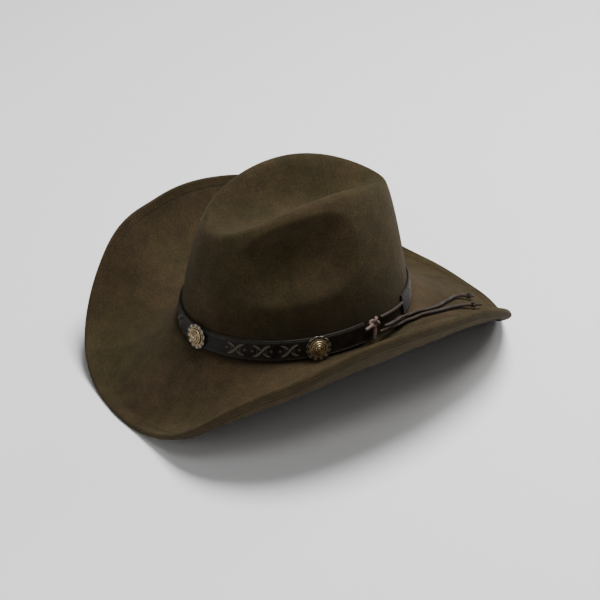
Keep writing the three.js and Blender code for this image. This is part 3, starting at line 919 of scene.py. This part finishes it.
def make_band(material, thread, tree):
    columns = 1100
    at = np.linspace(BAND_START, BAND_END, columns)
    angles = np.radians(at)
    foot = beside_wall(angles, BAND_LIFT + 0.5 * BAND_HEIGHT, CLEARANCE)
    length = np.concatenate([[0], np.cumsum(np.linalg.norm(np.diff(foot, axis=0), axis=1))])
    crosses = []
    for cross in TOOLED_CROSSES:
        spot = cross if cross > BAND_START else cross + 360
        if BAND_START + 3 < spot < BAND_END - 3:
            crosses.append(np.interp(spot, at, length))
    rows = np.linspace(0.5, BAND_HEIGHT - 0.5, 37)
    long, rise = np.meshgrid(length, rows, indexing="ij")
    raised = tooling(long, rise, crosses)
    puff = 0.25 * (1 - np.abs(2 * rise / BAND_HEIGHT - 1) ** 6)
    turn = np.broadcast_to(angles[:, None], long.shape)
    out = beside_wall(turn, BAND_LIFT + rise, CLEARANCE + BAND_THICKNESS - 0.55 + puff + 0.42 * raised)
    rim = [
        (0.12, BAND_THICKNESS - 0.75), (0.0, BAND_THICKNESS - 1.2), (0.0, 0.25), (0.25, 0.0),
        (BAND_HEIGHT - 0.25, 0.0), (BAND_HEIGHT, 0.25), (BAND_HEIGHT, BAND_THICKNESS - 1.2),
        (BAND_HEIGHT - 0.12, BAND_THICKNESS - 0.75),
    ]
    back = np.stack([beside_wall(angles, BAND_LIFT + r, CLEARANCE + a) for r, a in rim], axis=1)
    section = np.concatenate([out, back[:, ::-1]], axis=1)
    tall = section.shape[1]
    faces = [tuple(f) for f in grid_faces(columns, tall, closed_columns=True)]
    faces.append(tuple(range(tall)))
    faces.append(tuple(reversed(range((columns - 1) * tall, columns * tall))))
    band = make_object("band", in_metres(section), faces, material)
    values = np.zeros((columns, tall))
    values[:, :len(rows)] = raised
    mark(band, "raised", values)
    settle(band, "band_leather", "hat_band")
    face = CLEARANCE + BAND_THICKNESS - 0.3
    for name, height in (("band_stitches_low", 1.5), ("band_stitches_high", BAND_HEIGHT - 1.5)):
        along = np.radians(np.linspace(BAND_START + 0.8, BAND_END - 0.8, 900))
        line = beside_wall(along, BAND_LIFT + height, face)
        sew(name, tree, line, False, 2.1, 1.75, 0.33, thread)


def round_relief(name, rings, sides, place, axis, material):
    """A turned ornament from rings of (radius, height, sunk) functions of the angle."""
    turn = 2 * np.pi * np.arange(sides) / sides
    points, sunk = [], []
    for radius, height, depth in rings:
        r = np.broadcast_to(radius(turn) if callable(radius) else radius, turn.shape)
        z = np.broadcast_to(height(turn) if callable(height) else height, turn.shape)
        d = np.broadcast_to(depth(turn) if callable(depth) else depth, turn.shape)
        points.append(np.stack([r * np.cos(turn), r * np.sin(turn), z], axis=1))
        sunk.append(d)
    count = len(rings)
    flat = np.vstack(points)
    faces = turned_over(grid_faces(count, sides, closed_columns=True))
    faces.append(tuple(reversed(range(sides))))
    faces.append(tuple(range((count - 1) * sides, count * sides)))
    piece = make_object(name, in_metres(turned_to(flat, axis, place)), faces, material)
    mark(piece, "sunk", np.concatenate(sunk))
    return piece


def concho_rim_rings():
    """Scalloped disc with a flute down each scallop and a beaded circle round the middle."""
    radius = 0.5 * CONCHO_DIAMETER
    middle = 0.5 * CENTRE_DIAMETER
    thick = CONCHO_THICKNESS

    def scallop(share):
        def edge(turn):
            wave = np.abs(np.cos(0.5 * CONCHO_SCALLOPS * turn)) ** 0.7
            return radius * share * (0.9 + 0.1 * wave)
        return edge

    def flute(base, depth):
        return lambda turn: base - depth * np.abs(np.sin(0.5 * CONCHO_SCALLOPS * turn)) ** 3

    def shade(depth):
        return lambda turn: depth * np.abs(np.sin(0.5 * CONCHO_SCALLOPS * turn)) ** 3

    def bead(base, depth):
        return lambda turn: base - depth * (0.5 - 0.5 * np.cos(3 * CONCHO_SCALLOPS * turn))

    low = CONCHO_STEP * thick
    return [
        (scallop(0.95), 0.0, 0.2), (scallop(0.99), 0.3, 0.1), (scallop(1.0), 0.75 * thick, 0),
        (scallop(0.985), flute(0.93 * thick, 0.1), shade(0.4)),
        (scallop(0.95), flute(thick, 0.25), shade(0.8)),
        (scallop(0.9), flute(0.98 * thick, 0.4), shade(1.0)),
        (scallop(0.84), flute(0.92 * thick, 0.35), shade(1.0)),
        (radius * 0.77, flute(0.85 * thick, 0.2), shade(0.7)), (radius * 0.745, low, 1.0),
        (radius * 0.72, bead(0.98 * thick, 0.3), 0.1), (radius * 0.69, bead(1.02 * thick, 0.35), 0.1),
        (radius * 0.66, bead(0.98 * thick, 0.3), 0.3), (middle * 1.02, low, 1.0), (middle * 0.9, low, 1.0),
    ]


def concho_centre_rings():
    """Raised cap with stepped circles and a small boss."""
    radius = 0.5 * CENTRE_DIAMETER
    high = CENTRE_HEIGHT
    steps = [
        (1.0, 0.0, 0.6), (1.0, 0.3, 0.3), (0.98, 0.42, 0.0), (0.93, 0.52, 0.0), (0.87, 0.55, 0.1),
        (0.83, 0.46, 0.95), (0.78, 0.46, 0.95), (0.745, 0.62, 0.1), (0.69, 0.72, 0.0), (0.62, 0.74, 0.0),
        (0.57, 0.62, 0.95), (0.52, 0.62, 0.95), (0.49, 0.78, 0.1), (0.42, 0.88, 0.0), (0.34, 0.9, 0.0),
        (0.29, 0.8, 0.9), (0.25, 0.8, 0.9), (0.21, 0.92, 0.1), (0.13, 0.98, 0.0), (0.05, 1.0, 0.0),
    ]
    return [(r * radius, h * high, s) for r, h, s in steps]


def make_conchos(silver, brass):
    """Four silver discs with brass caps. The discs turn gilt towards their middles."""
    middle_rise = BAND_LIFT + 0.5 * BAND_HEIGHT
    disc_rings = concho_rim_rings()
    gilt = np.repeat(np.linspace(-0.9, 1.6, len(disc_rings)).clip(0, 1), 144)
    for index, at in enumerate(CONCHO_ANGLES, 1):
        angle = column(math.radians(at))
        foot = beside_wall(angle, middle_rise, BAND_THICKNESS + 2 * CLEARANCE)[0]
        axis = wall_normal(angle, middle_rise)[0]
        rim = round_relief(f"concho_disc_{index}", disc_rings, 144, foot, axis, silver)
        mark(rim, "gilt", gilt)
        settle(rim, "antique_silver", f"concho_rim_{index}")
        cap_foot = foot + axis * (CONCHO_STEP * CONCHO_THICKNESS + 0.05)
        cap = round_relief(f"concho_cap_{index}", concho_centre_rings(), 72, cap_foot, axis, brass)
        settle(cap, "antique_brass", f"concho_centre_{index}")


def main():
    set_camera()
    lace = leather_material("lace_leather", (0.017, 0.0095, 0.0065), (0.042, 0.026, 0.018), 0.55)
    make_tails(lace)
    set_studio()
    make_felt(felt_material())
    stitches = stitch_tree("stitches")
    edge_stitches(stitches, thread_material("edge_thread", (0.028, 0.0205, 0.01)))
    make_band(band_material(), thread_material("band_thread", (0.028, 0.022, 0.016)), stitches)
    silver = metal_material("antique_silver", (0.1, 0.09, 0.068), (0.3, 0.275, 0.215), 0.42)
    brass = metal_material("antique_brass", (0.2, 0.13, 0.065), (0.56, 0.43, 0.25), 0.36)
    make_conchos(silver, brass)
    make_knot(lace)


main()
